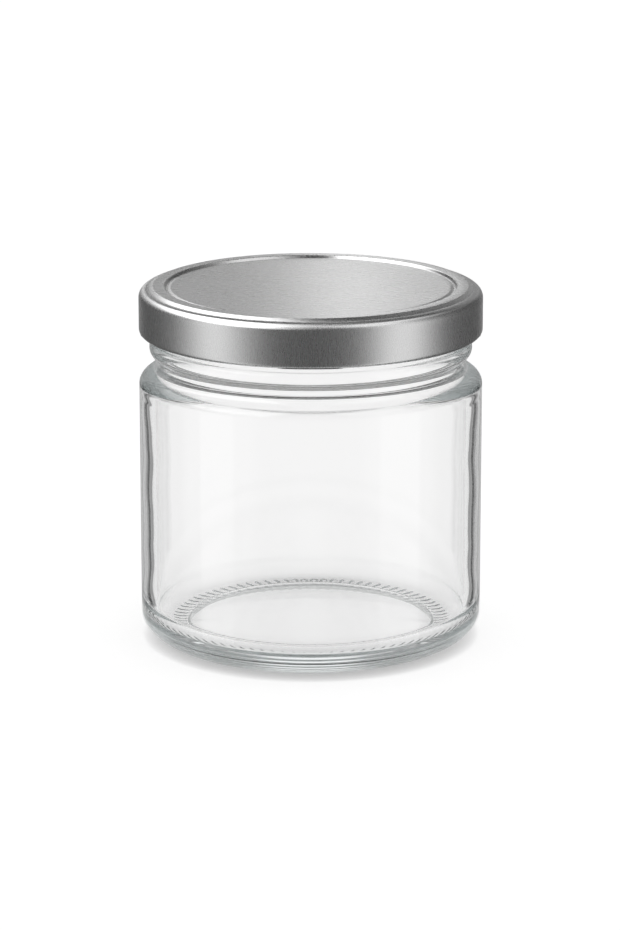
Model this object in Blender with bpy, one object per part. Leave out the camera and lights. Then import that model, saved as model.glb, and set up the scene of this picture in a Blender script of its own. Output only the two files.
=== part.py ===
"""A straight-sided glass jar with a twist-off lug lid.

Metres, +Z up. The origin is on the surface that the jar stands on, under the middle of the jar.
The jar is one casting of glass. The lid is a tinplate pressing with four lugs, which run up the
four sloping lobes of the glass thread, and a ring of sealing compound lies in its channel.
"""

import math

import bmesh
import bpy

FULL_TURN = 2 * math.pi

# Counts round the axis
SIDES = 60
KNURLS = 80
LUGS = 4

# Counts of steps along a curve
INNER_SHOULDER_STEPS = 5
LOBE_STEPS = 16

# Glass, radial sizes
FINISH_RADIUS = 0.0336
FINISH_WALL = 0.0026
RIM_ROUNDING = 0.0011
BEAD_DEPTH = 0.00117
NECK_INSET = 0.0004
SHOULDER_WIDTH = 0.0034
BODY_WALL = 0.0034
HEEL_WIDTH = 0.0081
INNER_HEEL_WIDTH = 0.0060

# Glass, heights
HEEL_HEIGHT = 0.0059
WALL_HEIGHT = 0.05055
SHOULDER_HEIGHT = 0.00535
NECK_HEIGHT = 0.0009
BEAD_HEIGHT = 0.0036
FINISH_HEIGHT = 0.0097
FLOOR_THICKNESS = 0.00185
FLOOR_CROWN = 0.0002
FLOOR_SHARES = (0.5, 0)
INNER_HEEL_HEIGHT = 0.0045
INNER_SHOULDER_HEIGHT = 0.0058
INNER_SHOULDER_DROP = 0.0008

# The round of the shoulder, as shares of the step from body to neck, and the fillet into the neck
SHOULDER_ROUND_WIDTH_SHARE = 1.32
SHOULDER_ROUND_HEIGHT_SHARE = 0.58
NECK_FILLET_SHARES = ((0.06, 0.1), (0, 0))
BEAD_BASE_SHARE = 0.2

# Underside of the glass
KNURL_LENGTH = 0.0021
KNURL_DEPTH = 0.00035
KNURL_END = 0.0004
FOOT_WIDTH = 0.0009
PUSH_UP_MARGIN = 0.0003
PUSH_UP_STEP = 0.0022
PUSH_UP_CROWN = 0.0004
PUSH_UP_SHARES = (0, 0.35, 0.7, 1)

# Glass thread: LUGS lobes, each a stretch of one helix
THREAD_DEPTH = 0.0012
THREAD_SINK = 0.0005
THREAD_LEAD = 0.0127
THREAD_CREST = 0.0006
THREAD_ROOT = 0.0010
THREAD_SPAN_SHARE = 0.78
THREAD_FADE_SHARE = 0.14

# Lid sheet and its rolled edge
SHEET = 0.00025
CURL_WIDTH = 0.0018
CURL_HEIGHT = 0.0019
ROLL_END = 50
SKIRT_GAP = 0.0013
CORNER_RADIUS = 0.0019
LEDGE_WIDTH = 0.00295
RIM_STEP = 0.0006
RIM_WIDTH = 0.00265
EDGE_RADIUS = 0.0004
GROOVE_WIDTH = 0.0011
GROOVE_DEPTH = 0.00065
PANEL_DROP = 0.0004
PANEL_DISH = 0.0007
PANEL_SHARES = (0, 0.4, 0.75)

# Lugs, pressed in from the rolled edge
LUG_REACH = 0.00125
LUG_HEIGHT = 0.0011
LUG_WIDTH = 0.0100
LUG_FLANK = 0.0030
UNPRESSED_SHARE = 0.1

# Sealing ring and clearances
SEAL_THICKNESS = 0.0009
SEAL_ROUNDING = 0.00025
FIT_GAP = 0.0003
CURL_CLEARANCE = 0.0004
THREAD_CLEARANCE = 0.0003

# Glass, worked out from the sizes above
mouth_radius = FINISH_RADIUS - FINISH_WALL
neck_radius = FINISH_RADIUS - NECK_INSET
bead_radius = FINISH_RADIUS + BEAD_DEPTH
thread_radius = FINISH_RADIUS + THREAD_DEPTH
body_radius = FINISH_RADIUS + SHOULDER_WIDTH
inner_radius = body_radius - BODY_WALL
bearing_radius = body_radius - HEEL_WIDTH
push_up_z = KNURL_DEPTH + PUSH_UP_STEP
floor_z = push_up_z + FLOOR_THICKNESS
wall_top = HEEL_HEIGHT + WALL_HEIGHT
neck_z = wall_top + SHOULDER_HEIGHT
bead_z = neck_z + NECK_HEIGHT + BEAD_HEIGHT / 2
bead_top = bead_z + BEAD_HEIGHT / 2
mouth_z = bead_top + FINISH_HEIGHT

# Lid, worked out from the glass that it closes
curl_inner_radius = thread_radius + CURL_CLEARANCE
lid_radius = curl_inner_radius + CURL_WIDTH
rim_outer_radius = lid_radius - LEDGE_WIDTH
rim_inner_radius = rim_outer_radius - RIM_WIDTH
panel_radius = rim_inner_radius - GROOVE_WIDTH
lid_bottom = bead_top + SKIRT_GAP
seal_z = mouth_z + FIT_GAP
lid_top = seal_z + SEAL_THICKNESS + FIT_GAP + SHEET
lug_angle = LUG_WIDTH / curl_inner_radius
lug_flank_angle = LUG_FLANK / curl_inner_radius


def arc(centre, width, height, start, end, steps):
    """Points of an elliptical arc in the half section, as (radius, height), from start to end degrees."""
    points = []
    for step in range(steps + 1):
        angle = math.radians(start + (end - start) * step / steps)
        points.append((centre[0] + width * math.cos(angle), centre[1] + height * math.sin(angle)))
    return points


def ring(radius, height, count=SIDES):
    """One ring of points about the axis. A ring of no radius is a single point."""
    if radius == 0:
        return [(0, 0, height)]
    turns = [FULL_TURN * index / count for index in range(count)]
    return [(radius * math.cos(turn), radius * math.sin(turn), height) for turn in turns]


def knurled_ring(radius, crest_z, trough_z):
    """A ring with three points for each knurl: two on its flat crest and one in the trough after it."""
    points = []
    for x, y, _ in ring(radius, crest_z, KNURLS * 3):
        points.append((x, y, trough_z if len(points) % 3 == 2 else crest_z))
    return points


def edges_of(points):
    """How many edges a ring has: none where it is a single point."""
    return len(points) if len(points) > 1 else 0


def skin(mesh, first, second):
    """Faces between two rings of vertices, which may differ in their number of points."""
    if len(first) == len(second):
        for index in range(len(first)):
            after = (index + 1) % len(first)
            mesh.faces.new((first[index], first[after], second[after], second[index]))
        return
    first_edges, second_edges = edges_of(first), edges_of(second)
    i = j = 0
    while i < first_edges or j < second_edges:
        a, b = first[i % len(first)], second[j % len(second)]
        if j == second_edges or (i < first_edges and (i + 1) * second_edges <= (j + 1) * first_edges):
            i += 1
            mesh.faces.new((a, first[i % len(first)], b))
        else:
            j += 1
            mesh.faces.new((a, second[j % len(second)], b))


def skinned_mesh(name, rings):
    """A closed mesh skinned over rings of points, from a single point to a single point or right round."""
    mesh = bmesh.new()
    loops = [[mesh.verts.new(point) for point in points] for points in rings]
    for first, second in zip(loops, loops[1:]):
        skin(mesh, first, second)
    if len(loops[0]) > 1:
        skin(mesh, loops[-1], loops[0])
    bmesh.ops.recalc_face_normals(mesh, faces=mesh.faces)
    data = bpy.data.meshes.new(name)
    mesh.to_mesh(data)
    mesh.free()
    data.shade_smooth()
    data.set_sharp_from_angle(angle=math.radians(50))
    return data


def add_object(name, data, material, location=(0, 0, 0), parent=None):
    item = bpy.data.objects.new(name, data)
    bpy.context.scene.collection.objects.link(item)
    item.location = location
    item.parent = parent
    if material:
        data.materials.append(material)
    return item


def principled(name, colour, **values):
    """A Principled material, with values for its named sockets."""
    material = bpy.data.materials.new(name)
    material.use_nodes = True
    shader = material.node_tree.nodes["Principled BSDF"]
    shader.inputs["Base Color"].default_value = (*colour, 1)
    for socket, value in values.items():
        shader.inputs[socket.replace("_", " ")].default_value = value
    return material


def underside():
    """Rings of the push-up, its steep side, the flat foot round it and the bearing ring with its knurls."""
    knurl_inner = bearing_radius - KNURL_LENGTH / 2
    knurl_outer = bearing_radius + KNURL_LENGTH / 2
    foot_outer = knurl_inner - KNURL_END
    foot_inner = foot_outer - FOOT_WIDTH
    push_up_radius = foot_inner - PUSH_UP_MARGIN
    rings = []
    for share in PUSH_UP_SHARES:
        rings.append(ring(push_up_radius * share, push_up_z + PUSH_UP_CROWN * (1 - share**2)))
    rings.append(ring(foot_inner, KNURL_DEPTH, KNURLS))
    rings.append(ring(foot_outer, KNURL_DEPTH, KNURLS))
    rings.append(knurled_ring(knurl_inner, 0, KNURL_DEPTH))
    rings.append(knurled_ring(knurl_outer, 0, KNURL_DEPTH))
    return rings


def heel():
    """Half section of the outer heel, from the height of the knurl troughs up to the wall."""
    centre = (bearing_radius, HEEL_HEIGHT)
    start = math.degrees(math.asin(KNURL_DEPTH / HEEL_HEIGHT - 1))
    return arc(centre, HEEL_WIDTH, HEEL_HEIGHT, start, 0, 5)


def shoulder():
    """Half section from the top of the wall, round the shoulder and into the neck groove."""
    step = body_radius - neck_radius
    width = step * SHOULDER_ROUND_WIDTH_SHARE
    height = SHOULDER_HEIGHT * SHOULDER_ROUND_HEIGHT_SHARE
    points = arc((body_radius - width, wall_top), width, height, 0, 60, 4)
    for radius_share, height_share in NECK_FILLET_SHARES:
        points.append((neck_radius + step * radius_share, neck_z - SHOULDER_HEIGHT * height_share))
    return points


def finish():
    """Half section of the bead, the finish wall and the rounded sealing rim, down to the mouth."""
    base = neck_radius + (bead_radius - neck_radius) * BEAD_BASE_SHARE
    points = arc((base, bead_z), bead_radius - base, BEAD_HEIGHT / 2, -75, 75, 5)
    points.append((FINISH_RADIUS, bead_top + NECK_HEIGHT / 2))
    points += arc((FINISH_RADIUS - RIM_ROUNDING, mouth_z - RIM_ROUNDING), RIM_ROUNDING, RIM_ROUNDING, 0, 90, 3)
    points += arc((mouth_radius + RIM_ROUNDING, mouth_z - RIM_ROUNDING), RIM_ROUNDING, RIM_ROUNDING, 90, 180, 2)
    return points


def inside():
    """Half section of the hollow, from the mouth down the wall to the middle of the floor."""
    top = neck_z - INNER_SHOULDER_DROP
    points = []
    for step in range(INNER_SHOULDER_STEPS + 1):
        share = step / INNER_SHOULDER_STEPS
        blend = (1 - math.cos(math.pi * share)) / 2
        radius = mouth_radius + (inner_radius - mouth_radius) * blend
        points.append((radius, top - INNER_SHOULDER_HEIGHT * share))
    centre = (inner_radius - INNER_HEEL_WIDTH, floor_z + INNER_HEEL_HEIGHT)
    points += arc(centre, INNER_HEEL_WIDTH, INNER_HEEL_HEIGHT, 0, -90, 5)
    for share in FLOOR_SHARES:
        points.append((centre[0] * share, floor_z + FLOOR_CROWN * (1 - share**2)))
    return points


def thread_lobe(start_angle, low_z):
    """One lobe of the glass thread: a ridge that climbs the helix and fades into the wall at both ends."""
    root = FINISH_RADIUS - THREAD_SINK
    span = FULL_TURN / LUGS * THREAD_SPAN_SHARE
    sections = []
    for step in range(LOBE_STEPS + 1):
        share = step / LOBE_STEPS
        fade = min(1, share / THREAD_FADE_SHARE, (1 - share) / THREAD_FADE_SHARE)
        fade = math.sin(fade * math.pi / 2)
        crest = root + THREAD_SINK / 2 + (thread_radius - root - THREAD_SINK / 2) * fade
        turn = start_angle + span * share
        under = low_z + THREAD_LEAD * span * share / FULL_TURN
        section = [(root, under), (crest, under), (crest, under + THREAD_CREST), (root, under + THREAD_ROOT)]
        sections.append([(r * math.cos(turn), r * math.sin(turn), z) for r, z in section])
    return sections


def thread_mesh():
    """All lobes of the thread, as closed bodies that a union joins to the glass."""
    lug_top = lid_bottom + LUG_HEIGHT
    lead_in = lug_angle / 2 + lug_flank_angle
    low_z = lug_top + THREAD_CLEARANCE
    mesh = bmesh.new()
    for lobe in range(LUGS):
        start = FULL_TURN * lobe / LUGS - lead_in - lug_flank_angle
        sections = thread_lobe(start, low_z - THREAD_LEAD * lug_flank_angle / FULL_TURN)
        loops = [[mesh.verts.new(point) for point in points] for points in sections]
        for first, second in zip(loops, loops[1:]):
            skin(mesh, first, second)
        mesh.faces.new(loops[0])
        mesh.faces.new(loops[-1])
    bmesh.ops.recalc_face_normals(mesh, faces=mesh.faces)
    data = bpy.data.meshes.new("thread_lobes")
    mesh.to_mesh(data)
    mesh.free()
    return data


def build_jar(material):
    """The glass: one casting, with the thread lobes joined to its finish."""
    foot, *rest = heel() + shoulder() + finish() + inside()
    rings = underside()
    rings.append(ring(*foot, KNURLS))
    rings += [ring(*point) for point in rest]
    jar = add_object("glass_jar", skinned_mesh("glass_jar", rings), material)
    lobes = add_object("thread_lobes", thread_mesh(), None)
    lobes.hide_render = True
    lobes.display_type = "WIRE"
    union = jar.modifiers.new("thread", "BOOLEAN")
    union.operation = "UNION"
    union.solver = "EXACT"
    union.object = lobes
    return jar


def lid_outside():
    """Half section of the lid's outer face, from the middle of the panel to the rolled edge, above lid_bottom."""
    top = lid_top - lid_bottom
    points = []
    for share in PANEL_SHARES:
        points.append((panel_radius * share, top - PANEL_DROP - PANEL_DISH * (1 - share**2)))
    edge = EDGE_RADIUS
    points += arc((panel_radius - edge, top - PANEL_DROP - edge), edge, edge, 90, 40, 1)
    middle = panel_radius + GROOVE_WIDTH / 2
    points.append((middle - edge / 2, top - GROOVE_DEPTH))
    points.append((middle + edge / 2, top - GROOVE_DEPTH))
    points += arc((rim_inner_radius + edge, top - edge), edge, edge, 150, 90, 2)
    points += arc((rim_outer_radius - edge, top - edge), edge, edge, 90, 15, 2)
    ledge = top - RIM_STEP
    points.append((rim_outer_radius + edge / 2, ledge))
    corner = (lid_radius - CORNER_RADIUS, ledge - CORNER_RADIUS)
    points += arc(corner, CORNER_RADIUS, CORNER_RADIUS, 85, 0, 4)
    points.append((lid_radius, CURL_HEIGHT / 2))
    return points


def set_in(points, depth):
    """The same half section, moved in by the thickness of the sheet."""
    moved = []
    for index, (radius, height) in enumerate(points):
        before = points[max(index - 1, 0)]
        after = points[min(index + 1, len(points) - 1)]
        along = (after[0] - before[0], after[1] - before[1])
        length = math.hypot(*along)
        across = (along[1] / length, -along[0] / length)
        on_axis = radius == 0
        moved.append((0 if on_axis else radius + across[0] * depth, height + across[1] * depth))
    return moved


def lug_share(turn):
    """How far the rolled edge is pressed in at an angle: 1 on a lug, 0 between lugs."""
    pitch = FULL_TURN / LUGS
    off = abs((turn + pitch / 2) % pitch - pitch / 2)
    return min(1, max(0, (lug_angle / 2 + lug_flank_angle - off) / lug_flank_angle))


def squared(value):
    """A cosine or sine drawn out towards a square corner."""
    return math.copysign(math.sqrt(abs(value)), value)


def curl_ring(degrees):
    """One ring of the rolled edge, at an angle round its section, with the lugs pressed in."""
    across, up = math.cos(math.radians(degrees)), math.sin(math.radians(degrees))
    middle = lid_radius - CURL_WIDTH / 2
    points = []
    for x, y, _ in ring(1, 0):
        share = lug_share(math.atan2(y, x)) if across < UNPRESSED_SHARE else 0
        plain = (middle + CURL_WIDTH / 2 * across, CURL_HEIGHT / 2 * (1 + up))
        lug = (middle + (CURL_WIDTH / 2 + LUG_REACH) * squared(across), LUG_HEIGHT / 2 * (1 + squared(up)))
        radius = plain[0] + (lug[0] - plain[0]) * share
        height = plain[1] + (lug[1] - plain[1]) * share
        points.append((x * radius, y * radius, height))
    return points


def build_lid(material, pivot):
    """The pressed sheet, closed at its rolled edge, with its underside back to the middle."""
    outside = lid_outside()
    inner_face = set_in(outside, SHEET)
    rings = [ring(*point) for point in outside]
    rings += [curl_ring(degrees) for degrees in (-45, -90, -135, -180, -225, -270)]
    rings.append(ring(lid_radius - SHEET, CURL_HEIGHT / 2 * (1 + math.sin(math.radians(ROLL_END)))))
    rings += [ring(*point) for point in reversed(inner_face[:-1])]
    return add_object("lid_shell", skinned_mesh("lid_shell", rings), material, parent=pivot)


def build_seal(material, pivot):
    """The ring of compound in the channel under the raised rim."""
    inner = rim_inner_radius + SHEET + FIT_GAP
    outer = rim_outer_radius - SHEET - FIT_GAP
    bottom, top = 0, SEAL_THICKNESS
    bevel = SEAL_ROUNDING
    section = [
        (inner, bottom + bevel),
        (inner + bevel, bottom),
        (outer - bevel, bottom),
        (outer, bottom + bevel),
        (outer, top - bevel),
        (outer - bevel, top),
        (inner + bevel, top),
        (inner, top - bevel),
    ]
    data = skinned_mesh("sealing_ring", [ring(*point) for point in section])
    seat = (0, 0, seal_z - lid_bottom)
    return add_object("sealing_ring", data, material, location=seat, parent=pivot)


def main():
    for item in list(bpy.data.objects):
        bpy.data.objects.remove(item, do_unlink=True)
    glass = principled("clear_glass", (0.9, 0.93, 0.92), Roughness=0.02, IOR=1.52, Transmission_Weight=1)
    tinplate = principled("tinplate", (0.62, 0.62, 0.62), Roughness=0.35, Metallic=1)
    compound = principled("sealing_compound", (0.78, 0.78, 0.75), Roughness=0.6)
    build_jar(glass)
    pivot = add_object("lid_pivot", None, None, location=(0, 0, lid_bottom))
    build_lid(tinplate, pivot)
    build_seal(compound, pivot)


main()
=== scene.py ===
"""Looks of the glass jar: its fine glass, the brushed lug lid with its rolled edge, and the sealing ring.

Metres, +Z up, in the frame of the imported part. The camera looks along +Y and a little down.
"""

import math

import bmesh
import bpy
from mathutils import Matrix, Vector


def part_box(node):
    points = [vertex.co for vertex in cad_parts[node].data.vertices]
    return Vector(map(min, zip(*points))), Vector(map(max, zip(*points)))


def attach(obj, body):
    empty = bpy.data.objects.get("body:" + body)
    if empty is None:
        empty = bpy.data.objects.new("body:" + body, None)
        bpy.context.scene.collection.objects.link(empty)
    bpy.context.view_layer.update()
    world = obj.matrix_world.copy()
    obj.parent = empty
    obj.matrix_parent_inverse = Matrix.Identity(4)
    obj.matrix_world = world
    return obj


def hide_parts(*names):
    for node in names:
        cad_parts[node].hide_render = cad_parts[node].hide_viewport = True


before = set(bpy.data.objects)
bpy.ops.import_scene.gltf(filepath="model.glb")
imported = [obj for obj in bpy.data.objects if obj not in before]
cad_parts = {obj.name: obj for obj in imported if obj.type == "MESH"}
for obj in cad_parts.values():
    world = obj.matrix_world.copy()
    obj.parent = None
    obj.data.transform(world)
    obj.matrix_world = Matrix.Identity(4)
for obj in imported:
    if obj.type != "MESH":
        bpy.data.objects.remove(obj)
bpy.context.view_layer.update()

FULL_TURN = 2 * math.pi
SHARP_ANGLE = math.radians(60)

# Counts round the axis
KNURLS = 80
SIDES = KNURLS * 6
LUGS = 4

# Glass: sizes that repeat those of the part
FINISH_WALL = 0.0026
RIM_ROUNDING = 0.0011
BEAD_DEPTH = 0.00117
NECK_INSET = 0.0004
SHOULDER_WIDTH = 0.0034
BODY_WALL = 0.0034
HEEL_WIDTH = 0.0081
INNER_HEEL_WIDTH = 0.0060
HEEL_HEIGHT = 0.0059
WALL_HEIGHT = 0.05055
SHOULDER_HEIGHT = 0.00535
NECK_HEIGHT = 0.0009
BEAD_HEIGHT = 0.0036
FLOOR_THICKNESS = 0.00265
FLOOR_CROWN = 0.0002
INNER_HEEL_HEIGHT = 0.0045
INNER_SHOULDER_HEIGHT = 0.0033
INNER_SHOULDER_DROP = 0.0011
INNER_SHOULDER_ROUNDINGS = (0.0004, 0.0008)
SHOULDER_ROUND_WIDTH_SHARE = 1.32
SHOULDER_ROUND_HEIGHT_SHARE = 0.58
SHOULDER_ROUND_END = 60
BEAD_BASE_SHARE = 0.2
BEAD_END = 75
KNURL_LENGTH = 0.0021
KNURL_DEPTH = 0.00035
KNURL_END = 0.0004
KNURL_FLAT_SHARES = (0.12, 0.88)
KNURL_EDGE_SHARE = 0.9
KNURL_GAP_SHARE = 1.3
KNURL_PHASE = FULL_TURN / 6
FOOT_WIDTH = 0.0006
FOOT_ROUNDING = 0.00025
PUSH_UP_MARGIN = 0.0003
PUSH_UP_STEP = 0.0014
PUSH_UP_CROWN = 0.0004

# Glass: the pull of the two fillets in the neck, and the slight waves of the moulded wall
NECK_PULLS = (0.00135, 0.0009)
INNER_WAVE = 0.000008
OUTER_WAVE = 0.000004
WAVES = ((5, 40, 0.4), (9, -60, 2.1), (13, 85, 4.0), (17, -110, 1.0))

# Glass thread
THREAD_DEPTH = 0.0012
THREAD_LEAD = 0.0127
THREAD_CREST = 0.0006
THREAD_ROOT = 0.0010
THREAD_EDGE = 0.00015
THREAD_SPAN_SHARE = 0.78
THREAD_FADE_SHARE = 0.14
THREAD_CLEARANCE = 0.0003

# Lid
SHEET = 0.00025
CURL_WIDTH = 0.0018
CURL_HEIGHT = 0.0019
ROLL_END = -292
CORNER_RADIUS = 0.0019
RIM_STEP = 0.0006
LEDGE_WIDTH = 0.00295
VALLEY_WIDTH = 0.00206
VALLEY_RADIUS = 0.0003
RIM_WIDTH = 0.00265
EDGE_RADIUS = 0.0004
GROOVE_WIDTH = 0.0011
GROOVE_DEPTH = 0.00065
GROOVE_RADIUS = 0.00022
PANEL_DROP = 0.0004
PANEL_DISH = 0.0002
LUG_REACH = 0.00125
LUG_HEIGHT = 0.0011
LUG_WIDTH = 0.0100
LUG_FLANK = 0.0030
LUG_SIDE_SHARE = 0.4
GRAIN_TURN = math.radians(17)

# Sealing ring
FIT_GAP = 0.0003
SEAL_ROUNDING = 0.00025
SEAL_RIPPLE = 0.00003
SEAL_RIPPLES = 24

# Fineness: the steps along each part of a half section
CROWN_STEPS = 12
FOOT_STEPS = 5
HEEL_STEPS = 20
WALL_STEPS = 30
SHOULDER_STEPS = 16
NECK_STEPS = 16
BEAD_STEPS = 20
FINISH_STEPS = 64
RIM_OUTER_STEPS = 10
RIM_INNER_STEPS = 8
MOUTH_STEPS = 12
INNER_SHOULDER_STEPS = 14
INNER_WALL_STEPS = 48
INNER_HEEL_STEPS = 24
PANEL_STEPS = 24
PRESSING_STEPS = 8
SKIRT_STEPS = 12
ROLL_STEPS = 28
SEAL_STEPS = 6

glass_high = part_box("glass_jar")[1]
lid_low, lid_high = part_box("lid_shell")
seal_low, seal_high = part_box("sealing_ring")

body_radius = glass_high.x
mouth_z = glass_high.z
finish_radius = body_radius - SHOULDER_WIDTH
mouth_radius = finish_radius - FINISH_WALL
neck_radius = finish_radius - NECK_INSET
bead_radius = finish_radius + BEAD_DEPTH
inner_radius = body_radius - BODY_WALL
bearing_radius = body_radius - HEEL_WIDTH
push_up_z = KNURL_DEPTH + PUSH_UP_STEP
floor_z = push_up_z + FLOOR_THICKNESS
wall_top = HEEL_HEIGHT + WALL_HEIGHT
neck_z = wall_top + SHOULDER_HEIGHT
bead_z = neck_z + NECK_HEIGHT + BEAD_HEIGHT / 2
bead_top = bead_z + BEAD_HEIGHT / 2

lid_radius = lid_high.x
lid_bottom = lid_low.z
lid_top = lid_high.z
curl_inner_radius = lid_radius - CURL_WIDTH
rim_outer_radius = lid_radius - LEDGE_WIDTH
rim_inner_radius = rim_outer_radius - RIM_WIDTH
panel_radius = rim_inner_radius - GROOVE_WIDTH
lug_angle = LUG_WIDTH / curl_inner_radius
lug_flank_angle = LUG_FLANK / curl_inner_radius


def smooth(value):
    """An even ramp from 0 to 1 with rounded ends."""
    value = min(1, max(0, value))
    return value * value * (3 - 2 * value)


def arc(centre, width, height, start, end, steps):
    """Points of an elliptical arc in the half section, as (radius, height), from start to end degrees."""
    points = []
    for step in range(steps + 1):
        angle = math.radians(start + (end - start) * step / steps)
        points.append((centre[0] + width * math.cos(angle), centre[1] + height * math.sin(angle)))
    return points


def straight(first, last, steps):
    """Points between two points of a half section, without the two."""
    shares = [step / steps for step in range(1, steps)]
    return [tuple(a + (b - a) * share for a, b in zip(first, last)) for share in shares]


def bezier(first, first_pull, last_pull, last, steps):
    """Points of a cubic curve between two points of a half section, without the two."""
    points = []
    for step in range(1, steps):
        share = step / steps
        rest = 1 - share
        weights = (rest**3, 3 * rest**2 * share, 3 * rest * share**2, share**3)
        corners = (first, first_pull, last_pull, last)
        points.append(tuple(sum(w * c[axis] for w, c in zip(weights, corners)) for axis in (0, 1)))
    return points


def rounded(corners, steps):
    """A half section through corners given as (radius, height, rounding), each with its arc."""
    points = []
    for index, (x, z, rounding) in enumerate(corners):
        if not rounding:
            points.append((x, z))
            continue
        before, after = corners[index - 1], corners[index + 1]
        into = math.atan2(z - before[1], x - before[0])
        out = math.atan2(after[1] - z, after[0] - x)
        turn = math.remainder(out - into, FULL_TURN)
        reach = rounding * math.tan(abs(turn) / 2)
        side = math.copysign(1, turn)
        start = (x - reach * math.cos(into), z - reach * math.sin(into))
        centre = (start[0] - side * rounding * math.sin(into), start[1] + side * rounding * math.cos(into))
        for step in range(steps + 1):
            heading = into + turn * step / steps
            x_off, z_off = side * rounding * math.sin(heading), -side * rounding * math.cos(heading)
            points.append((centre[0] + x_off, centre[1] + z_off))
    return points


def set_in(points, depth):
    """A half section moved square to itself, to the right of its direction."""
    moved = []
    for index, (radius, height) in enumerate(points):
        before = points[max(index - 1, 0)]
        after = points[min(index + 1, len(points) - 1)]
        along = (after[0] - before[0], after[1] - before[1])
        length = math.hypot(*along)
        out = 0 if radius == 0 else radius + along[1] / length * depth
        moved.append((out, height - along[0] / length * depth))
    return moved


def turned(point_at):
    """One ring of points about the axis. point_at(turn) gives the radius and height at an angle."""
    points = []
    for index in range(SIDES):
        turn = FULL_TURN * index / SIDES
        radius, height = point_at(turn)
        points.append((radius * math.cos(turn), radius * math.sin(turn), height))
    return points


def plain_rings(section, bend=None):
    """A ring for each point of a half section. bend(radius, height, turn) may move a point."""
    rings = []
    for radius, height in section:
        if radius == 0:
            rings.append([(0, 0, height)])
        elif bend:
            rings.append(turned(lambda turn, r=radius, z=height: bend(r, z, turn)))
        else:
            rings.append(turned(lambda turn, r=radius, z=height: (r, z)))
    return rings


def skin(mesh, first, second):
    """Faces between two rings of vertices, one of which may be a single point."""
    count = max(len(first), len(second))
    for index in range(count):
        after = (index + 1) % count
        if len(first) == 1:
            mesh.faces.new((first[0], second[after], second[index]))
        elif len(second) == 1:
            mesh.faces.new((first[index], first[after], second[0]))
        else:
            mesh.faces.new((first[index], first[after], second[after], second[index]))


def skinned_object(name, rings, material):
    """A closed, smooth piece skinned over rings, from a single point to a single point or right round."""
    mesh = bmesh.new()
    loops = [[mesh.verts.new(point) for point in points] for points in rings]
    for first, second in zip(loops, loops[1:]):
        skin(mesh, first, second)
    if len(loops[0]) > 1:
        skin(mesh, loops[-1], loops[0])
    bmesh.ops.recalc_face_normals(mesh, faces=mesh.faces)
    data = bpy.data.meshes.new(name)
    mesh.to_mesh(data)
    mesh.free()
    data.shade_smooth()
    data.set_sharp_from_angle(angle=SHARP_ANGLE)
    data.materials.append(material)
    piece = bpy.data.objects.new(name, data)
    bpy.context.scene.collection.objects.link(piece)
    return piece


class Graph:
    """Adds nodes to a node tree, each fed with numbers or with the outputs of other nodes."""

    def __init__(self, tree):
        tree.nodes.clear()
        self.tree = tree

    def feed(self, socket, value):
        if isinstance(value, bpy.types.NodeSocket):
            self.tree.links.new(value, socket)
        else:
            socket.default_value = value

    def add(self, kind, settings=None, **inputs):
        node = self.tree.nodes.new("ShaderNode" + kind)
        for name, value in (settings or {}).items():
            setattr(node, name, value)
        for name, value in inputs.items():
            self.feed(node.inputs[name.replace("_", " ")], value)
        return node

    def math(self, operation, *values):
        node = self.add("Math", {"operation": operation})
        for socket, value in zip(node.inputs, values):
            self.feed(socket, value)
        return node.outputs[0]

    def ramp(self, value, low, high, start=0.0, end=1.0):
        """A smooth step of a value from start at low to end at high."""
        settings = {"interpolation_type": "SMOOTHSTEP"}
        limits = {"From_Min": low, "From_Max": high, "To_Min": start, "To_Max": end}
        return self.add("MapRange", settings, Value=value, **limits).outputs[0]

    def window(self, value, low, high, soft):
        """1 between low and high, with soft sides, and 0 beyond."""
        rise = self.ramp(value, low - soft, low + soft)
        fall = self.ramp(value, high - soft, high + soft, 1.0, 0.0)
        return self.math("MULTIPLY", rise, fall)

    def mix(self, factor, first, second):
        """A mix of two colours or numbers, as a colour."""
        node = self.add("Mix", {"data_type": "RGBA"})
        self.feed(node.inputs[0], factor)
        for socket, value in ((node.inputs[6], first), (node.inputs[7], second)):
            self.feed(socket, value)
        return node.outputs[2]

    def stops(self, value, pairs):
        """Greys between stops, each given as (value, grey)."""
        node = self.add("ValToRGB", None, Fac=value)
        stops = node.color_ramp.elements
        for index, (position, tone) in enumerate(pairs):
            stop = stops[index] if index < len(stops) else stops.new(position)
            stop.position, stop.color = position, grey(tone)
        return node.outputs[0]

    def noise(self, vector, scale, detail=2.0, roughness=0.5):
        values = {"Vector": vector, "Scale": scale, "Detail": detail, "Roughness": roughness}
        return self.add("TexNoise", None, **values).outputs["Fac"]

    def stretched(self, vector, scale):
        """A vector with each axis scaled by itself."""
        node = self.add("VectorMath", {"operation": "MULTIPLY"})
        self.feed(node.inputs[0], vector)
        self.feed(node.inputs[1], scale)
        return node.outputs[0]


def grey(value):
    return (value, value, value, 1)


def new_material(name):
    material = bpy.data.materials.new(name)
    material.use_nodes = True
    return material, Graph(material.node_tree)


# Looks of the glass: its faces, its rubbed knurls and its depth
GLASS_INDEX = 1.52
GLASS_TONES = ((0.994, 0.992, 0.992, 1), (0.999, 0.997, 0.997, 1))
GLASS_TONE_SCALE = 40
FACE_WAVE_STRETCH = (1, 1, 0.35)
FACE_WAVE_SCALE = 110
FACE_WAVE_DETAIL = 1.5
FACE_WAVE_RELIEF = 0.000006
RUBBED_HEIGHT_SHARE = 0.6
RUBBED_ROUGHNESS = 0.25
DEPTH_COLOUR = (0.82, 0.88, 0.88, 1)
DEPTH_DENSITY = 8.0


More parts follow.
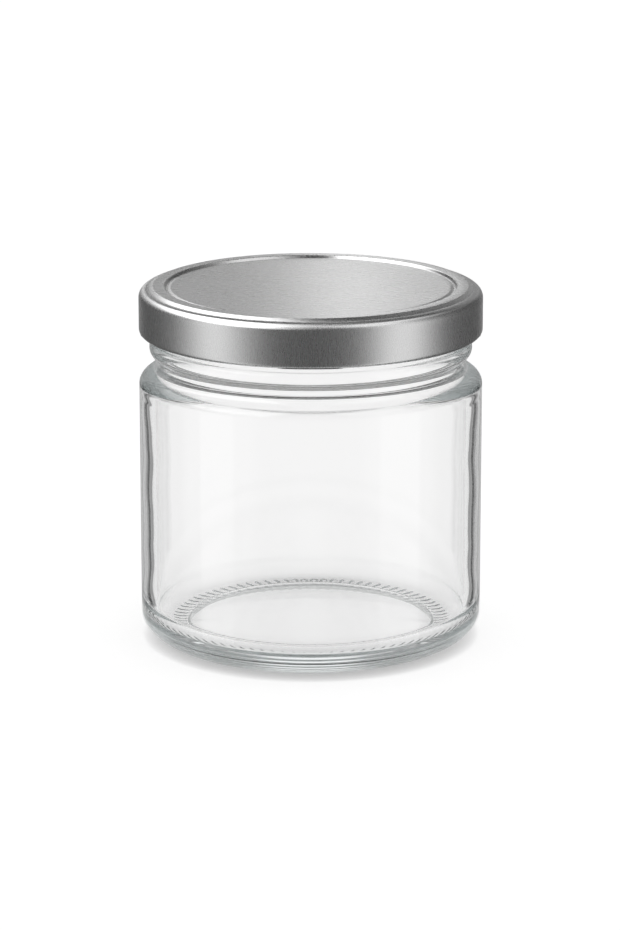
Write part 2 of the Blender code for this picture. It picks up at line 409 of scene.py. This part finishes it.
def glass_material():
    """Clear glass: slight waves in its faces, a rubbed bearing ring and a faint green in its depth."""
    material, graph = new_material("clear_glass")
    place = graph.add("TexCoord").outputs["Object"]
    height = graph.add("SeparateXYZ", None, Vector=place).outputs["Z"]
    waves = graph.noise(graph.stretched(place, FACE_WAVE_STRETCH), FACE_WAVE_SCALE, FACE_WAVE_DETAIL)
    bump = graph.add("Bump", None, Strength=1.0, Distance=FACE_WAVE_RELIEF, Height=waves)
    rubbed = graph.ramp(height, 0.0, KNURL_DEPTH * RUBBED_HEIGHT_SHARE, RUBBED_ROUGHNESS, 0.0)
    tone = graph.mix(graph.noise(place, GLASS_TONE_SCALE), *GLASS_TONES)
    shader = graph.add(
        "BsdfPrincipled",
        None,
        Base_Color=tone,
        Roughness=rubbed,
        IOR=GLASS_INDEX,
        Transmission_Weight=1.0,
        Normal=bump.outputs[0],
    )
    depth = graph.add("VolumeAbsorption", None, Color=DEPTH_COLOUR, Density=DEPTH_DENSITY)
    output = graph.add("OutputMaterial")
    graph.feed(output.inputs["Surface"], shader.outputs[0])
    graph.feed(output.inputs["Volume"], depth.outputs[0])
    return material


# Looks of the metal: the grain, the grit on it, and its tone and roughness
GRAIN_SCALE = 5200
GRAIN_STRETCH = 0.08
GRIT_SHARE = 0.5
CLOUD_SCALE = 55
CLOUD_ROUGHNESS = 0.03
METAL_RELIEF = 0.000005
METAL_RELIEF_SHARE = 0.06
METAL_ROUGHNESS = (0.25, 0.27)
METAL_TONES = (0.745, 0.785)
METAL_STRETCH = 0.8


def metal_material():
    """Brushed tinplate: streaks up and down the skirt, straight grain across the panel, grit over both."""
    material, graph = new_material("brushed_tinplate")
    place = graph.add("TexCoord").outputs["Object"]
    axes = graph.add("SeparateXYZ", None, Vector=place).outputs
    across = graph.math("MULTIPLY", axes["X"], axes["X"])
    radius = graph.math("SQRT", graph.math("MULTIPLY_ADD", axes["Y"], axes["Y"], across))
    on_skirt = graph.ramp(radius, rim_outer_radius, lid_radius - CORNER_RADIUS / 2)
    upright = graph.noise(graph.stretched(place, (1, 1, GRAIN_STRETCH)), GRAIN_SCALE)
    settings = {"rotation_type": "Z_AXIS"}
    along_grain = graph.add("VectorRotate", settings, Vector=place, Angle=GRAIN_TURN).outputs[0]
    level = graph.noise(graph.stretched(along_grain, (GRAIN_STRETCH, 1, 1)), GRAIN_SCALE)
    streaks = graph.mix(on_skirt, level, upright)
    grit = graph.noise(place, GRAIN_SCALE)
    clouds = graph.noise(place, CLOUD_SCALE)
    relief = graph.math("MULTIPLY_ADD", grit, GRIT_SHARE, streaks)
    bump = graph.add("Bump", None, Strength=METAL_RELIEF_SHARE, Distance=METAL_RELIEF, Height=relief)
    brushed = graph.ramp(streaks, 0.3, 0.7, *METAL_ROUGHNESS)
    worn = graph.math("MULTIPLY_ADD", clouds, CLOUD_ROUGHNESS, brushed)
    darker, lighter = METAL_TONES
    tone = graph.mix(graph.ramp(relief, 0.5, 1.0), grey(darker), grey(lighter))
    round_axis = graph.add("Tangent", {"direction_type": "RADIAL", "axis": "Z"}).outputs[0]
    settings = {"vector_type": "VECTOR", "convert_from": "OBJECT", "convert_to": "WORLD"}
    across_grain = (math.sin(GRAIN_TURN), math.cos(GRAIN_TURN), 0)
    over_panel = graph.add("VectorTransform", settings, Vector=across_grain).outputs[0]
    along = graph.mix(on_skirt, over_panel, round_axis)
    shader = graph.add(
        "BsdfPrincipled",
        None,
        Base_Color=tone,
        Metallic=1.0,
        Roughness=worn,
        Anisotropic=METAL_STRETCH,
        Tangent=along,
        Normal=bump.outputs[0],
    )
    graph.feed(graph.add("OutputMaterial").inputs["Surface"], shader.outputs[0])
    return material


# Looks of the compound
MOTTLE_SCALE = 900
MOTTLE_DETAIL = 3.0
MOTTLE_RELIEF = 0.00003
MOTTLE_RELIEF_SHARE = 0.4
COMPOUND_TONES = ((0.72, 0.72, 0.68, 1), (0.84, 0.84, 0.81, 1))
COMPOUND_ROUGHNESS = (0.5, 0.65)


def compound_material():
    """Flowed-in sealing compound: off-white, soft and matte, with a little mottling."""
    material, graph = new_material("sealing_compound")
    place = graph.add("TexCoord").outputs["Object"]
    mottle = graph.noise(place, MOTTLE_SCALE, MOTTLE_DETAIL)
    tone = graph.mix(mottle, *COMPOUND_TONES)
    bump = graph.add("Bump", None, Strength=MOTTLE_RELIEF_SHARE, Distance=MOTTLE_RELIEF, Height=mottle)
    rough = graph.ramp(mottle, 0.3, 0.7, *COMPOUND_ROUGHNESS)
    shader = graph.add("BsdfPrincipled", None, Base_Color=tone, Roughness=rough, Normal=bump.outputs[0])
    graph.feed(graph.add("OutputMaterial").inputs["Surface"], shader.outputs[0])
    return material


def wave_share(turn, height):
    """The slight unevenness of a moulded wall, from -1 to 1."""
    waves = [math.sin(count * turn + pitch * height + phase) for count, pitch, phase in WAVES]
    return sum(waves) / len(WAVES)


def inner_bend(radius, height, turn):
    """The inside of the glass: uneven on the wall, and true at the rim and on the floor."""
    fade = smooth((height - floor_z) / INNER_HEEL_HEIGHT) * smooth((bead_z - height) / BEAD_HEIGHT)
    return radius + INNER_WAVE * fade * wave_share(turn, height), height


def outer_bend(radius, height, turn):
    """The outer wall, a little uneven inwards."""
    return radius - OUTER_WAVE * (1 + wave_share(turn + 1, height)), height


def between_knurls(turn):
    """0 on the crest of a knurl, 1 between two."""
    return smooth(KNURL_GAP_SHARE * (1 - math.cos(KNURLS * turn - KNURL_PHASE)) / 2)


def knurl_bend(radius, height, turn):
    """A point of the bearing ring: down on the crest of a knurl, up between two."""
    return radius, height * between_knurls(turn)


def thread_bend(radius, height, turn):
    """The finish wall with the lobes of its thread, each a ridge that climbs and fades at both ends."""
    pitch = FULL_TURN / LUGS
    span = pitch * THREAD_SPAN_SHARE
    start = -(lug_angle / 2 + 2 * lug_flank_angle)
    local = (turn - start) % pitch
    if local > span:
        return radius, height
    share = local / span
    fade = math.sin(min(1, share / THREAD_FADE_SHARE, (1 - share) / THREAD_FADE_SHARE) * math.pi / 2)
    low = lid_bottom + LUG_HEIGHT + THREAD_CLEARANCE - THREAD_LEAD * lug_flank_angle / FULL_TURN
    above = height - low - THREAD_LEAD * local / FULL_TURN
    rise = smooth(above / THREAD_EDGE)
    fall = smooth((THREAD_ROOT - above) / (THREAD_ROOT - THREAD_CREST))
    return radius + THREAD_DEPTH * fade * rise * fall, height


def underside_rings():
    """Rings of the push-up, the foot round it and the knurled bearing ring."""
    knurl_inner = bearing_radius - KNURL_LENGTH / 2
    knurl_outer = bearing_radius + KNURL_LENGTH / 2
    foot_outer = knurl_inner - KNURL_END
    foot_inner = foot_outer - FOOT_WIDTH
    push_up_radius = foot_inner - PUSH_UP_MARGIN
    ceiling = []
    for step in range(CROWN_STEPS):
        share = step / CROWN_STEPS
        ceiling.append((push_up_radius * share, push_up_z + PUSH_UP_CROWN * (1 - share**2)))
    corners = [
        (*ceiling[-1], 0),
        (push_up_radius, push_up_z, FOOT_ROUNDING),
        (foot_inner, KNURL_DEPTH, FOOT_ROUNDING),
        (foot_outer, KNURL_DEPTH, 0),
    ]
    rings = plain_rings(ceiling[:-1] + rounded(corners, FOOT_STEPS))
    for share in (0, *KNURL_FLAT_SHARES, 1):
        radius = knurl_inner + (knurl_outer - knurl_inner) * share
        depth = KNURL_DEPTH if 0 < share < 1 else KNURL_DEPTH * KNURL_EDGE_SHARE
        rings += plain_rings([(radius, depth)], knurl_bend)
    return rings


def outer_wall():
    """Half section of the heel, the wall, the shoulder and the neck, up to the bead."""
    start = math.degrees(math.asin(KNURL_DEPTH / HEEL_HEIGHT - 1)) + 1
    heel = arc((bearing_radius, HEEL_HEIGHT), HEEL_WIDTH, HEEL_HEIGHT, start, 0, HEEL_STEPS)
    width = (body_radius - neck_radius) * SHOULDER_ROUND_WIDTH_SHARE
    height = SHOULDER_HEIGHT * SHOULDER_ROUND_HEIGHT_SHARE
    shoulder = arc((body_radius - width, wall_top), width, height, 0, SHOULDER_ROUND_END, SHOULDER_STEPS)
    return heel + straight(heel[-1], shoulder[0], WALL_STEPS) + shoulder


def bead():
    """Half section of the bead."""
    base = neck_radius + (bead_radius - neck_radius) * BEAD_BASE_SHARE
    return arc((base, bead_z), bead_radius - base, BEAD_HEIGHT / 2, -BEAD_END, BEAD_END, BEAD_STEPS)


def neck_between(lower, upper):
    """Half section of the neck groove, from the end of the shoulder to the start of the bead."""
    into = (lower[-1][0] - lower[-2][0], lower[-1][1] - lower[-2][1])
    out = (upper[1][0] - upper[0][0], upper[1][1] - upper[0][1])
    into_scale = NECK_PULLS[0] / math.hypot(*into)
    out_scale = NECK_PULLS[1] / math.hypot(*out)
    first_pull = (lower[-1][0] + into[0] * into_scale, lower[-1][1] + into[1] * into_scale)
    last_pull = (upper[0][0] - out[0] * out_scale, upper[0][1] - out[1] * out_scale)
    return bezier(lower[-1], first_pull, last_pull, upper[0], NECK_STEPS)


def inside():
    """Half section of the hollow, from below the rim down the wall to the middle of the floor."""
    top = neck_z - INNER_SHOULDER_DROP
    corners = [
        (mouth_radius, bead_z, 0),
        (mouth_radius, top, INNER_SHOULDER_ROUNDINGS[0]),
        (inner_radius, top - INNER_SHOULDER_HEIGHT, INNER_SHOULDER_ROUNDINGS[1]),
        (inner_radius, wall_top - INNER_SHOULDER_HEIGHT, 0),
    ]
    points = rounded(corners, INNER_SHOULDER_STEPS)
    centre = (inner_radius - INNER_HEEL_WIDTH, floor_z + INNER_HEEL_HEIGHT)
    heel = arc(centre, INNER_HEEL_WIDTH, INNER_HEEL_HEIGHT, 0, -90, INNER_HEEL_STEPS)
    points += straight(points[-1], heel[0], INNER_WALL_STEPS) + heel
    for step in reversed(range(CROWN_STEPS)):
        share = step / CROWN_STEPS
        points.append((centre[0] * share, floor_z + FLOOR_CROWN * (1 - share**2)))
    return points


def make_jar(material):
    """The glass: one casting with its thread, in fine rings."""
    lower, round_bead = outer_wall(), bead()
    rings = underside_rings()
    rings += plain_rings(lower, outer_bend)
    rings += plain_rings(neck_between(lower, round_bead) + round_bead)
    wall_start = (finish_radius, bead_top + NECK_HEIGHT / 2)
    outer_centre = (finish_radius - RIM_ROUNDING, mouth_z - RIM_ROUNDING)
    outer_round = arc(outer_centre, RIM_ROUNDING, RIM_ROUNDING, 0, 90, RIM_OUTER_STEPS)
    wall = [wall_start] + straight(wall_start, outer_round[0], FINISH_STEPS)
    rings += plain_rings(wall + outer_round, thread_bend)
    inner_centre = (mouth_radius + RIM_ROUNDING, mouth_z - RIM_ROUNDING)
    inner_round = arc(inner_centre, RIM_ROUNDING, RIM_ROUNDING, 90, 180, RIM_INNER_STEPS)
    rings += plain_rings(inner_round)
    hollow = inside()
    rings += plain_rings(straight(inner_round[-1], hollow[0], MOUTH_STEPS) + hollow, inner_bend)
    return skinned_object("jar_glass", rings, material)


def lid_section():
    """Half section of the lid's outer face, from the middle of the panel down the skirt to the roll."""
    panel_top = lid_top - PANEL_DROP
    points = []
    for step in range(PANEL_STEPS):
        share = step / PANEL_STEPS
        points.append((panel_radius * share, panel_top - PANEL_DISH * (1 - share**2)))
    groove = lid_top - GROOVE_DEPTH
    ledge = lid_top - RIM_STEP
    middle = panel_radius + GROOVE_WIDTH / 2
    corners = [
        (*points[-1], 0),
        (panel_radius - EDGE_RADIUS / 2, panel_top, EDGE_RADIUS),
        (middle - EDGE_RADIUS / 2, groove, GROOVE_RADIUS),
        (middle + EDGE_RADIUS / 2, groove, GROOVE_RADIUS),
        (rim_inner_radius + EDGE_RADIUS / 4, lid_top, EDGE_RADIUS),
        (rim_outer_radius - EDGE_RADIUS / 4, lid_top, EDGE_RADIUS),
        (lid_radius - VALLEY_WIDTH, ledge, VALLEY_RADIUS),
        (lid_radius, ledge, CORNER_RADIUS),
        (lid_radius, lid_bottom + CURL_HEIGHT / 2, 0),
    ]
    return points[:-1] + rounded(corners, PRESSING_STEPS)


def lug_share(turn):
    """How far the rolled edge is pressed in at an angle: 1 on a lug, 0 between lugs."""
    pitch = FULL_TURN / LUGS
    off = abs((turn + pitch / 2) % pitch - pitch / 2)
    return smooth((lug_angle / 2 + lug_flank_angle - off) / lug_flank_angle)


def squared(value):
    """A cosine or sine drawn out towards a square corner."""
    return math.copysign(math.sqrt(abs(value)), value)


def roll_ring(degrees, depth):
    """One ring of the rolled edge at an angle round its section, depth inside its outer face."""
    across, up = math.cos(math.radians(degrees)), math.sin(math.radians(degrees))
    middle = lid_radius - CURL_WIDTH / 2

    def point_at(turn):
        share = lug_share(turn) * smooth((LUG_SIDE_SHARE - across) / LUG_SIDE_SHARE)
        plain_radius = middle + (CURL_WIDTH / 2 - depth) * across
        plain_height = CURL_HEIGHT / 2 + (CURL_HEIGHT / 2 - depth) * up
        lug_radius = middle + (CURL_WIDTH / 2 + LUG_REACH - depth) * squared(across)
        lug_height = LUG_HEIGHT / 2 + (LUG_HEIGHT / 2 - depth) * squared(up)
        radius = plain_radius + (lug_radius - plain_radius) * share
        return radius, lid_bottom + plain_height + (lug_height - plain_height) * share

    return turned(point_at)


def make_lid(material):
    """The pressed sheet, with its edge rolled in and up and the four lugs pressed from the roll."""
    outside = lid_section()
    skirt = straight(outside[-2], outside[-1], SKIRT_STEPS)
    roll = [ROLL_END * step / ROLL_STEPS for step in range(1, ROLL_STEPS + 1)]
    rings = plain_rings(outside[:-1] + skirt + [outside[-1]])
    rings += [roll_ring(degrees, 0) for degrees in roll]
    rings += [roll_ring(degrees, SHEET) for degrees in reversed(roll)]
    rings += plain_rings(list(reversed(set_in(outside, SHEET))))
    return skinned_object("lid_metal", rings, material)


def make_seal(material):
    """The ring of compound, flowed in with a slightly rippled face."""
    inner, outer = rim_inner_radius + SHEET + FIT_GAP, seal_high.x
    bottom, top = seal_low.z, seal_high.z
    corners = [
        (inner, (bottom + top) / 2, 0),
        (inner, top, SEAL_ROUNDING),
        (outer, top, SEAL_ROUNDING),
        (outer, bottom, SEAL_ROUNDING),
        (inner, bottom, SEAL_ROUNDING),
        (inner, (bottom + top) / 2, 0),
    ]
    section = rounded(corners, SEAL_STEPS)[:-1]

    def ripple(radius, height, turn):
        if height < (bottom + top) / 2:
            height += SEAL_RIPPLE * (1 + math.sin(SEAL_RIPPLES * turn)) / 2
        return radius, height

    return skinned_object("seal_ring", plain_rings(section, ripple), material)


jar = make_jar(glass_material())
lid = make_lid(metal_material())
seal = make_seal(compound_material())

for piece, body, node, slot in (
    (jar, "jar", "glass_jar", "clear_glass"),
    (lid, "lid", "lid_shell", "brushed_tinplate"),
    (seal, "seal", "sealing_ring", "sealing_compound"),
):
    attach(piece, body)
    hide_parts(node)

# Floor: a white sheet with a glow, which fades into a painted contact shadow where the glass stands close
# above it, and with painted light and shade under the glass
FLOOR_DROP = 0.00002
FLOOR_RADIUS = 6.0
FLOOR_SIDES = 64
NEAR_FLOOR_RADIUS = 0.042
NEAR_FLOOR_SOFTNESS = 1.25
SHEET_TONE = 0.75
SHEET_GLOW = 0.74
# Painted contact shadow: the glow dims by ambient occlusion within this reach, down to this strength, and
# less so where the floor is seen through the glass
CONTACT_REACH = 0.0028
CONTACT_GLOW = 0.36
CLEARED_SHARE = 0.65
# Painted light under the jar and painted shade just beyond its foot, added to the glow where the floor is
# seen through the glass
PAINTED_LIGHT_AND_SHADE_UNDER_GLASS = (0.02, -0.018)
PAINTED_LIGHT_START_SHARE = 0.95

# Lamp and plain light
LAMP_ANGLE = 16
LAMP_STRENGTH = 0.2
MATTE_LIGHT = 0.3
WHITE = 1.0

# World seen straight through the glass: elevations in degrees, and brightness below and above them
SHEET_TOP = (-7, -3)
SHEET_SHADES = (0.93, 0.02)
OVERHEAD = (35, 50)
OVERHEAD_SHADES = (0.0, 0.5)

# World seen by shiny faces: azimuths, elevations and softness of each box in degrees, and its strength
ROOM = 0.06
SOFT_BOXES = (
    ((-26, 26), (-95, 30), 4, 0.3),
    ((0.0, 1.0), (3, 34), 0.3, 1.8),
    ((-127, -101), (-60, 50), 0.7, 0.65),
    ((-142, -86), (-60, 50), 6, 0.4),
    ((102, 133), (-60, 50), 0.7, 0.65),
    ((90, 143), (-60, 50), 6, 0.35),
    ((-150, -25), (30, 80), 8, 2.2),
    ((60, 150), (48, 75), 8, 1.1),
)

# World seen by light turned back inside the glass: streaks by azimuth, and swirls by elevation
DRIFT_SCALE = 0.9
DRIFT = 5.0
STREAK_REPEATS = 4
STREAK_END = (44, 50)
PLAIN_SHADE = 0.85
INNER_STREAKS = (
    (0, 0.55), (0.03, 0.9), (0.1, 0.8), (0.15, 0.3), (0.2, 0.25), (0.3, 0.7), (0.5, 0.8), (0.58, 0.3),
    (0.64, 0.35), (0.68, 0.02), (0.78, 0.03), (0.82, 0.4), (0.92, 0.36), (0.95, 1.0), (1, 1.0),
)
STREAK_HEIGHTS = (-21, 4)
STREAK_SOFTNESS = 2
SWIRL_SLOPE = 0.12
SWIRL_SCALE = 0.55
SWIRL_STEP = (0.48, 0.54)
SWIRL_SHADES = (0.0, 1.1)
UPPER_HEIGHTS = (4, 32)
UPPER_SOFTNESS = 3
UPPER_STEP = (0.1, 0.3)
UPPER_SHADES = (1.0, 0.1)
UPPER_SWIRL_SHADES = (1.0, 0.6)
LOW_HEIGHTS = (-60, -50)
LOW_SHADES = (0.8, 0.0)


def directions(graph):
    """Azimuth from +Y towards +X and elevation of a ray that leaves for the world, in degrees."""
    axes = graph.add("SeparateXYZ", None, Vector=graph.add("TexCoord").outputs["Generated"]).outputs
    azimuth = graph.math("DEGREES", graph.math("ARCTAN2", axes["X"], axes["Y"]))
    elevation = graph.math("DEGREES", graph.math("ARCSINE", axes["Z"]))
    return azimuth, elevation


def soft_box(graph, azimuth, elevation, sides, heights, soft, strength):
    """A bright window in the directions round the object."""
    wide = graph.window(azimuth, *sides, soft)
    high = graph.window(elevation, *heights, soft)
    return graph.math("MULTIPLY", graph.math("MULTIPLY", wide, high), strength)


def total(graph, values):
    """The sum of several outputs."""
    result = values[0]
    for value in values[1:]:
        result = graph.math("ADD", result, value)
    return result


def clear_light(graph, elevation):
    """What is seen straight through the glass: white, dark above the sheet, and lit from overhead."""
    sheet = graph.ramp(elevation, *SHEET_TOP, *SHEET_SHADES)
    overhead = graph.ramp(elevation, *OVERHEAD, *OVERHEAD_SHADES)
    return graph.math("MAXIMUM", sheet, overhead)


def studio_light(graph, azimuth, elevation):
    """What shiny faces reflect: brightness by direction."""
    boxes = [soft_box(graph, azimuth, elevation, *box) for box in SOFT_BOXES]
    return graph.math("ADD", total(graph, boxes), ROOM)


def level_noise(graph, value, scale):
    """Soft noise along one number."""
    settings = {"noise_dimensions": "1D"}
    return graph.add("TexNoise", settings, W=value, Scale=scale, Detail=1.0).outputs["Fac"]


def inner_light(graph, azimuth, elevation):
    """What light turned back inside the glass meets: pale and dark streaks, alike each quarter turn."""
    side = graph.math("ABSOLUTE", azimuth)
    drift = graph.ramp(level_noise(graph, elevation, DRIFT_SCALE), 0.2, 0.8, -DRIFT, DRIFT)
    shifted = graph.math("ADD", side, drift)
    turns = graph.math("MULTIPLY", graph.math("RADIANS", shifted), STREAK_REPEATS)
    between = graph.math("MULTIPLY_ADD", graph.math("COSINE", turns), -0.5, 0.5)
    striped = graph.stops(between, INNER_STREAKS)
    streaks = graph.mix(graph.ramp(shifted, *STREAK_END), striped, grey(PLAIN_SHADE))
    contour = graph.math("MULTIPLY_ADD", side, SWIRL_SLOPE, elevation)
    swirls = graph.ramp(level_noise(graph, contour, SWIRL_SCALE), *SWIRL_STEP, *SWIRL_SHADES)
    level = graph.window(elevation, *STREAK_HEIGHTS, STREAK_SOFTNESS)
    upper_band = graph.window(elevation, *UPPER_HEIGHTS, UPPER_SOFTNESS)
    upper = graph.math("MULTIPLY", upper_band, graph.ramp(between, *UPPER_STEP, *UPPER_SHADES))
    below = graph.ramp(elevation, *LOW_HEIGHTS, *LOW_SHADES)
    dimmed = graph.ramp(elevation, *UPPER_HEIGHTS, *UPPER_SWIRL_SHADES)
    beyond = graph.math("MAXIMUM", graph.math("MULTIPLY", swirls, dimmed), upper)
    return graph.math("MAXIMUM", graph.mix(level, beyond, streaks), below)


def make_world():
    """White to the camera and through the glass, a studio to reflections, soft light to matte faces."""
    world = bpy.data.worlds.new("studio")
    world.use_nodes = True
    bpy.context.scene.world = world
    graph = Graph(world.node_tree)
    path = graph.add("LightPath").outputs
    reflected = graph.math("MINIMUM", path["Glossy Depth"], 1.0)
    inside_glass = graph.math("MINIMUM", path["Transmission Depth"], 1.0)
    azimuth, elevation = directions(graph)
    from_outside = studio_light(graph, azimuth, elevation)
    from_inside = inner_light(graph, azimuth, elevation)
    reflection = graph.mix(inside_glass, from_outside, from_inside)
    direct = graph.mix(inside_glass, grey(WHITE), clear_light(graph, elevation))
    shown = graph.mix(reflected, direct, reflection)
    diffused = graph.math("MINIMUM", path["Diffuse Depth"], 1.0)
    colour = graph.mix(diffused, shown, grey(MATTE_LIGHT))
    background = graph.add("Background", None, Color=colour, Strength=1.0)
    graph.feed(graph.add("OutputWorld").inputs["Surface"], background.outputs[0])


def floor_material():
    """White sheet: it keeps the shadow, real in its diffuse shading and painted in its glow, carries
    painted light under the jar and painted shade beyond it where seen through the glass, and far out it
    lets reflections through to the studio.
    """
    material, graph = new_material("white_sheet")
    path = graph.add("LightPath").outputs
    diffuse = graph.add("BsdfDiffuse", None, Color=grey(SHEET_TONE)).outputs[0]
    axes = graph.add("SeparateXYZ", None, Vector=graph.add("NewGeometry").outputs["Position"]).outputs
    across = graph.math("MULTIPLY", axes["X"], axes["X"])
    radius = graph.math("SQRT", graph.math("MULTIPLY_ADD", axes["Y"], axes["Y"], across))
    through = graph.math("MINIMUM", path["Transmission Depth"], 1.0)
    # Painted light and shade under the glass: the glow is raised inside the bearing ring and lowered
    # beyond it, for rays that came through the glass
    painted_light_start = bearing_radius * PAINTED_LIGHT_START_SHARE
    painted_under_glass = graph.math("MULTIPLY", through, graph.ramp(radius, painted_light_start, bearing_radius, *PAINTED_LIGHT_AND_SHADE_UNDER_GLASS))
    direct = graph.math("SUBTRACT", 1.0, path["Is Diffuse Ray"])
    # Painted contact shadow: ambient occlusion dims the glow where the glass stands close above the floor
    painted_contact_shadow = graph.add("AmbientOcclusion", {"samples": 8}, Distance=CONTACT_REACH).outputs["AO"]
    cleared = graph.mix(graph.math("MULTIPLY", through, CLEARED_SHARE), painted_contact_shadow, grey(1.0))
    shaded = graph.math("MULTIPLY_ADD", cleared, SHEET_GLOW - CONTACT_GLOW, CONTACT_GLOW)
    # The glow, with its painted contact shadow and the painted light and shade under the glass
    glow_with_painted_light = graph.math("MULTIPLY_ADD", direct, shaded, painted_under_glass)
    glow = graph.add("Emission", None, Color=grey(1.0), Strength=glow_with_painted_light).outputs[0]
    sheet = graph.add("AddShader")
    graph.feed(sheet.inputs[0], diffuse)
    graph.feed(sheet.inputs[1], glow)
    far = graph.ramp(radius, NEAR_FLOOR_RADIUS, NEAR_FLOOR_RADIUS * NEAR_FLOOR_SOFTNESS)
    reflected = graph.math("MINIMUM", path["Glossy Depth"], 1.0)
    open_share = graph.math("MULTIPLY", far, reflected)
    mixed = graph.add("MixShader")
    graph.feed(mixed.inputs[0], open_share)
    graph.feed(mixed.inputs[1], sheet.outputs[0])
    graph.feed(mixed.inputs[2], graph.add("BsdfTransparent").outputs[0])
    graph.feed(graph.add("OutputMaterial").inputs["Surface"], mixed.outputs[0])
    return material


def make_floor():
    data = bpy.data.meshes.new("floor")
    mesh = bmesh.new()
    bmesh.ops.create_circle(mesh, cap_ends=True, segments=FLOOR_SIDES, radius=FLOOR_RADIUS)
    mesh.to_mesh(data)
    mesh.free()
    data.materials.append(floor_material())
    floor = bpy.data.objects.new("floor", data)
    floor.location.z = -FLOOR_DROP
    bpy.context.scene.collection.objects.link(floor)


def make_lamp():
    """One soft lamp straight above, which only lights: shiny faces see the studio instead."""
    data = bpy.data.lights.new("overhead", "SUN")
    data.angle = math.radians(LAMP_ANGLE)
    data.energy = LAMP_STRENGTH
    lamp = bpy.data.objects.new("overhead", data)
    lamp.visible_camera = lamp.visible_glossy = lamp.visible_transmission = False
    bpy.context.scene.collection.objects.link(lamp)


# Camera: distance, height and pitch were found from the outline of the object in the photograph
IMAGE_HEIGHT = 930
SENSOR = 36
FOCAL_PIXELS = 3805
CAMERA_DISTANCE = 0.800
CAMERA_HEIGHT = 0.2468
CAMERA_PITCH = 14.65
AXIS_PIXELS_RIGHT = 0.75
CLIP_START = 0.05
CLIP_END = 20


def make_camera():
    data = bpy.data.cameras.new("camera")
    data.sensor_width = SENSOR
    data.lens = SENSOR * FOCAL_PIXELS / IMAGE_HEIGHT
    data.shift_x = -AXIS_PIXELS_RIGHT / IMAGE_HEIGHT
    data.clip_start = CLIP_START
    data.clip_end = CLIP_END
    camera = bpy.data.objects.new("camera", data)
    camera.location = (0, -CAMERA_DISTANCE, CAMERA_HEIGHT)
    camera.rotation_euler = (math.radians(90 - CAMERA_PITCH), 0, 0)
    bpy.context.scene.collection.objects.link(camera)
    bpy.context.scene.camera = camera


make_world()
make_floor()
make_lamp()
make_camera()

scene = bpy.context.scene
scene.view_settings.view_transform = "Standard"
scene.cycles.use_denoising = True
scene.cycles.max_bounces = 48
scene.cycles.transmission_bounces = 24
scene.cycles.glossy_bounces = 44
scene.cycles.transparent_max_bounces = 12
scene.cycles.sample_clamp_indirect = 4
